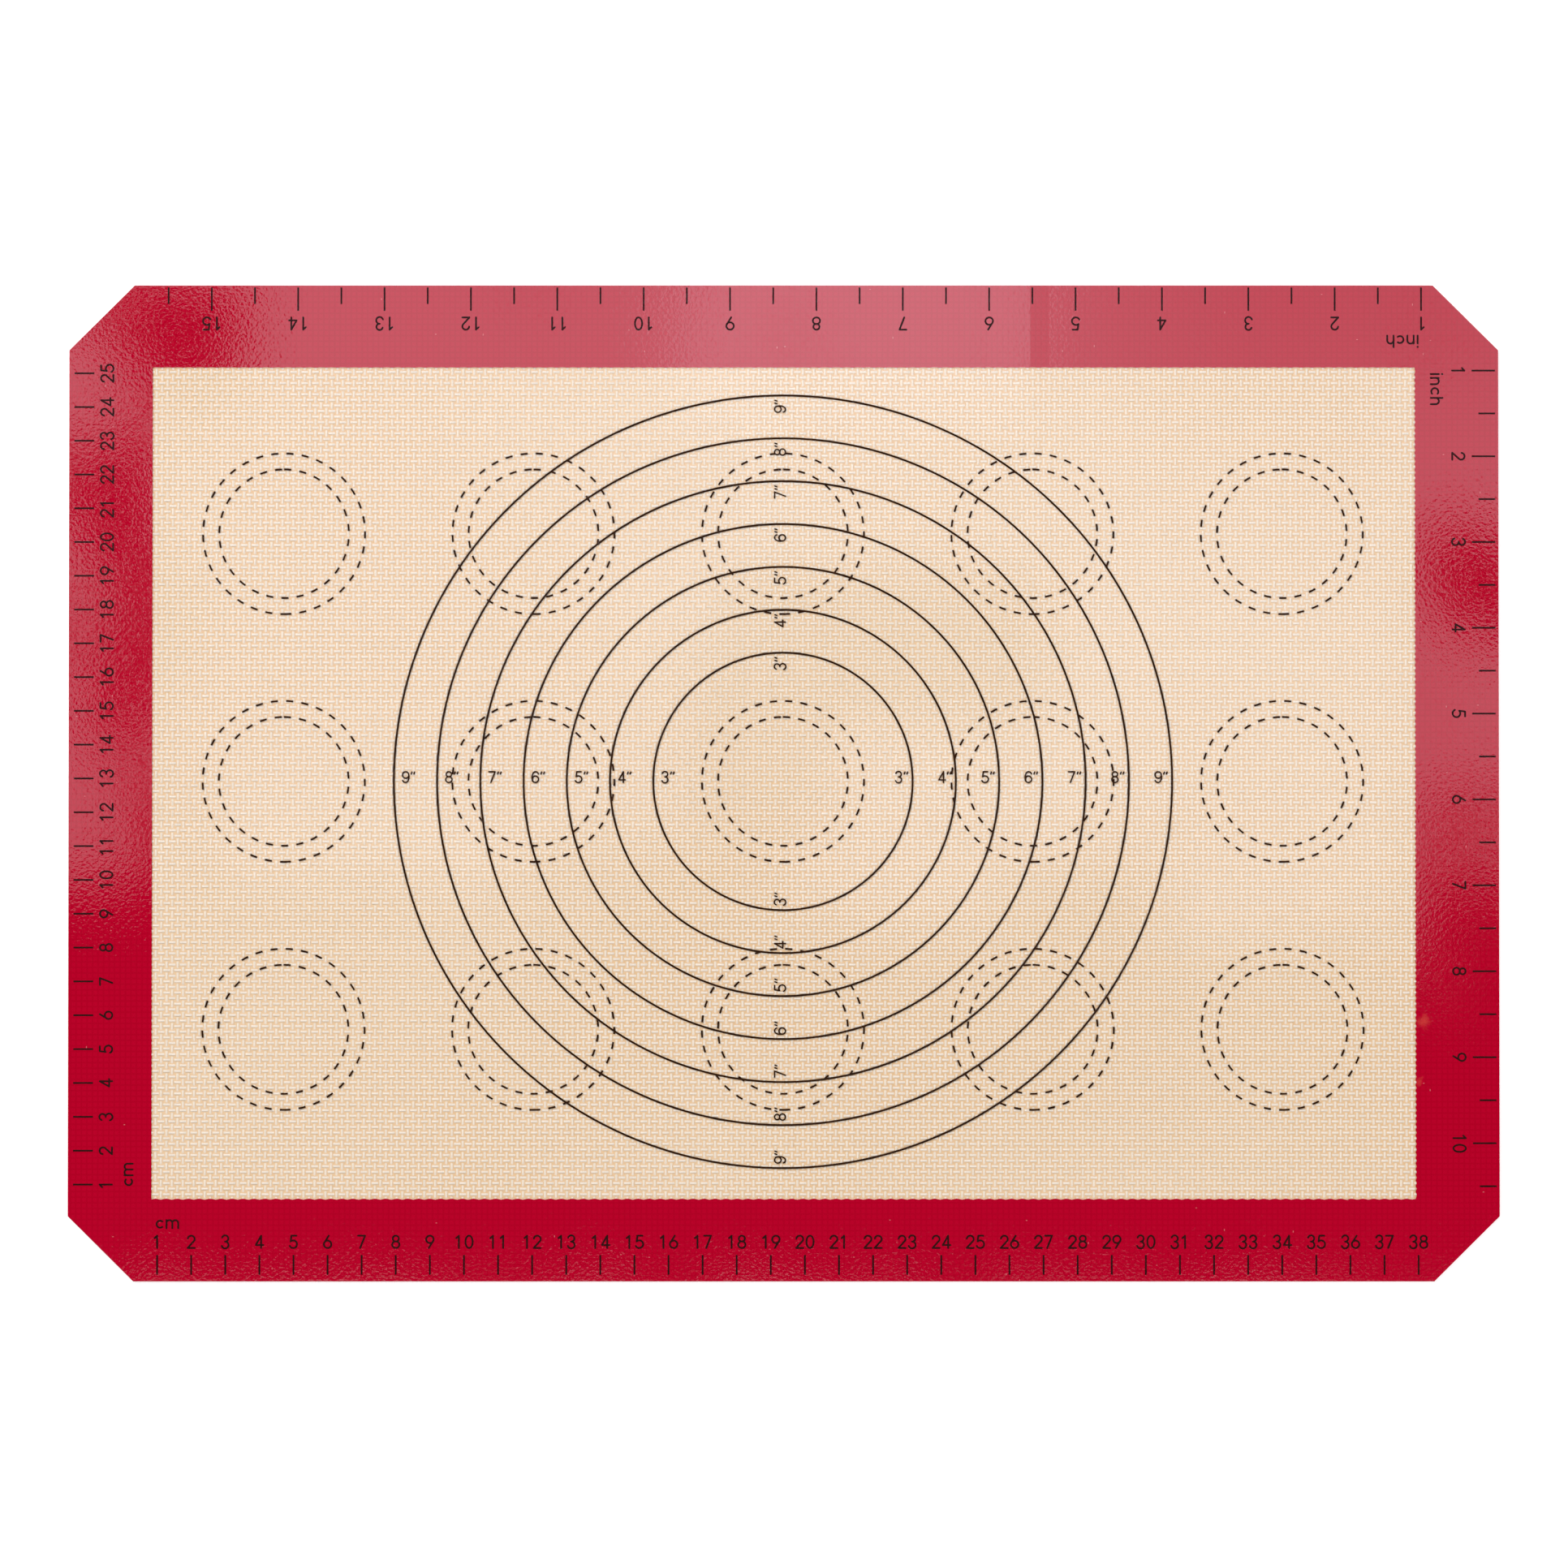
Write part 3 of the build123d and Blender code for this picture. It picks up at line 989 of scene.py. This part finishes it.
def scuff(tree, x, y, reach):
    """A worn spot with a ragged edge, its middle and reach in millimetres."""
    middle = add(tree, "ShaderNodeCombineXYZ", x * MM, y * MM, band_top * MM).outputs[0]
    here = add(tree, "ShaderNodeTexCoord").outputs["Object"]
    away = add(tree, "ShaderNodeVectorMath", here, middle, operation="DISTANCE").outputs["Value"]
    away = maths(tree, "DIVIDE", away, MM)
    ragged = maths(tree, "MULTIPLY", speckle(tree, 600.0), 2.0 * reach)
    return remap(tree, maths(tree, "ADD", away, ragged), reach, 2.0 * reach, 1.0, 0.0)


print("wear: specks and scuffs")

# %% Band finish
red_material, tree, shader = new_material("red_silicone_band")
spot = place(tree)
across = maths(tree, "MULTIPLY", spot.outputs["X"], 2 * math.pi / (warp_pitch * MM))
along = maths(tree, "MULTIPLY", spot.outputs["Y"], 2 * math.pi / (weft_pitch * MM))
lines = maths(tree, "MAXIMUM", maths(tree, "COSINE", across), maths(tree, "COSINE", along))
lines = remap(tree, lines, 0.2, 1.0, 0.0, 0.6)
colour = blend_colours(tree, lines, srgb(181, 3, 40), srgb(167, 1, 33))
wear_share = 0.5
worn = maths(tree, "MAXIMUM", scuff(tree, 188.1, -70.6, 2.2), scuff(tree, 186.6, -88.1, 1.4))
worn = maths(tree, "MULTIPLY", worn, wear_share)
colour = blend_colours(tree, worn, colour, srgb(214, 78, 66))
pale = maths(tree, "MAXIMUM", specks(tree, 48.0, 1.0, 0.4), specks(tree, 52.0, 0.45, 1.0))
pale = maths(tree, "MULTIPLY", pale, wear_share)
colour = blend_colours(tree, pale, colour, srgb(226, 150, 152))
fill(tree, shader.inputs["Base Color"], colour)
shader.inputs["Roughness"].default_value = 0.05
shader.inputs["IOR"].default_value = 1.45
band_skin = ((speckle(tree, 1150.0, 1.0), 0.0175), (fold_relief(tree), 0.09))
fill(tree, shader.inputs["Normal"], skin(tree, band_skin))
band = build_band(red_material)
print("red_band", count_triangles(band), "triangles")

# %% [markdown]
# The black print
#
# The marks are silicone ink, printed thinly. On the field it looks brown where the beige shows
# through it, and on the band it looks nearly red-black. So there are two inks, each a little
# thinner in places.

# %% Inks


def ink(name, full, thin, gloss):
    """Black silicone ink, which lets a little of what is under it through where it is thin."""
    made, tree, shader = new_material(name)
    wear = remap(tree, speckle(tree, 500.0, 3.0), 0.35, 0.65)
    fill(tree, shader.inputs["Base Color"], blend_colours(tree, wear, full, thin))
    shader.inputs["Roughness"].default_value = 0.35
    shader.inputs["Specular IOR Level"].default_value = gloss
    return made


field_ink = ink("black_ink_on_beige", srgb(38, 17, 2), srgb(52, 27, 6), 0.08)
band_ink = ink("black_ink_on_red", srgb(30, 5, 6), srgb(46, 8, 9), 0.12)
print("inks: 2")

# %% [markdown]
# The solid rings
#
# The seven pastry rings are circles drawn by Geometry Nodes with a flat printed line as section,
# because the solid model's rings come with visible corners when they are turned into triangles.

# %% Rings
ring_sides = 240
ring_line = 0.58


def ring_tree():
    """A flat printed circle."""
    tree = bpy.data.node_groups.new("printed_ring", "GeometryNodeTree")
    given = name_inputs(
        tree,
        (
            ("Sides", "Int"),
            ("Radius", "Float"),
            ("Line", "Float"),
            ("Film", "Float"),
            ("Centre", "Vector"),
            ("Finish", "Material"),
        ),
    )
    circle = add(tree, "GeometryNodeCurvePrimitiveCircle", given["Sides"], given["Radius"])
    section = add(tree, "GeometryNodeCurvePrimitiveQuadrilateral", given["Line"], given["Film"])
    line = add(tree, "GeometryNodeCurveToMesh", circle.outputs[0], section.outputs[0])
    moved = add(tree, "GeometryNodeTransform", line.outputs[0], given["Centre"])
    real = add(tree, "GeometryNodeRealizeInstances", moved.outputs[0])
    painted = add(tree, "GeometryNodeSetMaterial", real.outputs[0])
    fill(tree, painted.inputs["Material"], given["Finish"])
    add(tree, "NodeGroupOutput", painted.outputs[0])
    return tree


printed_ring = ring_tree()
rings = []
for inches in range(3, 10):
    node = f"ring_{inches}_inch"
    low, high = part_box(node)
    middle = (low + high) / 2
    radius = (high.y - low.y) / 2 - ring_line * MM / 2
    ring = run_tree(
        f"printed_{node}",
        printed_ring,
        sides=ring_sides,
        radius=radius,
        line=ring_line * MM,
        film=high.z - low.z,
        centre=(middle.x, middle.y, middle.z),
        finish=field_ink,
    )
    rings.append((ring, node))
print("rings:", len(rings), "of", count_triangles(rings[0][0]), "triangles")

# %% [markdown]
# The other marks
#
# Ticks, numerals, labels and the dashed guides are the solid model's own nodes. They only need
# their ink.

# %% Ink on the solid marks
printed = [
    name
    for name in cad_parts
    if name.startswith(("cm_", "inch_", "guide_")) or name.endswith("_labels")
]
for name in printed:
    on_band = name.startswith(("cm_", "inch_"))
    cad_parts[name].data.materials[0] = band_ink if on_band else field_ink
print("printed nodes:", len(printed))

# %% [markdown]
# Joining the frame
#
# Every piece made here rides on the model's one body, and the solid node that it stands in for is
# hidden.
# The silicone bed hides the cloth's node as well.

# %% Bodies and hidden solid nodes
for piece in weft + warp:
    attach(piece, "root")
    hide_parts("fibreglass_core")
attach(bed, "root")
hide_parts("fibreglass_core")
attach(band, "root")
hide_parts("border_band")
for ring, node in rings:
    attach(ring, "root")
    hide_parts(node)
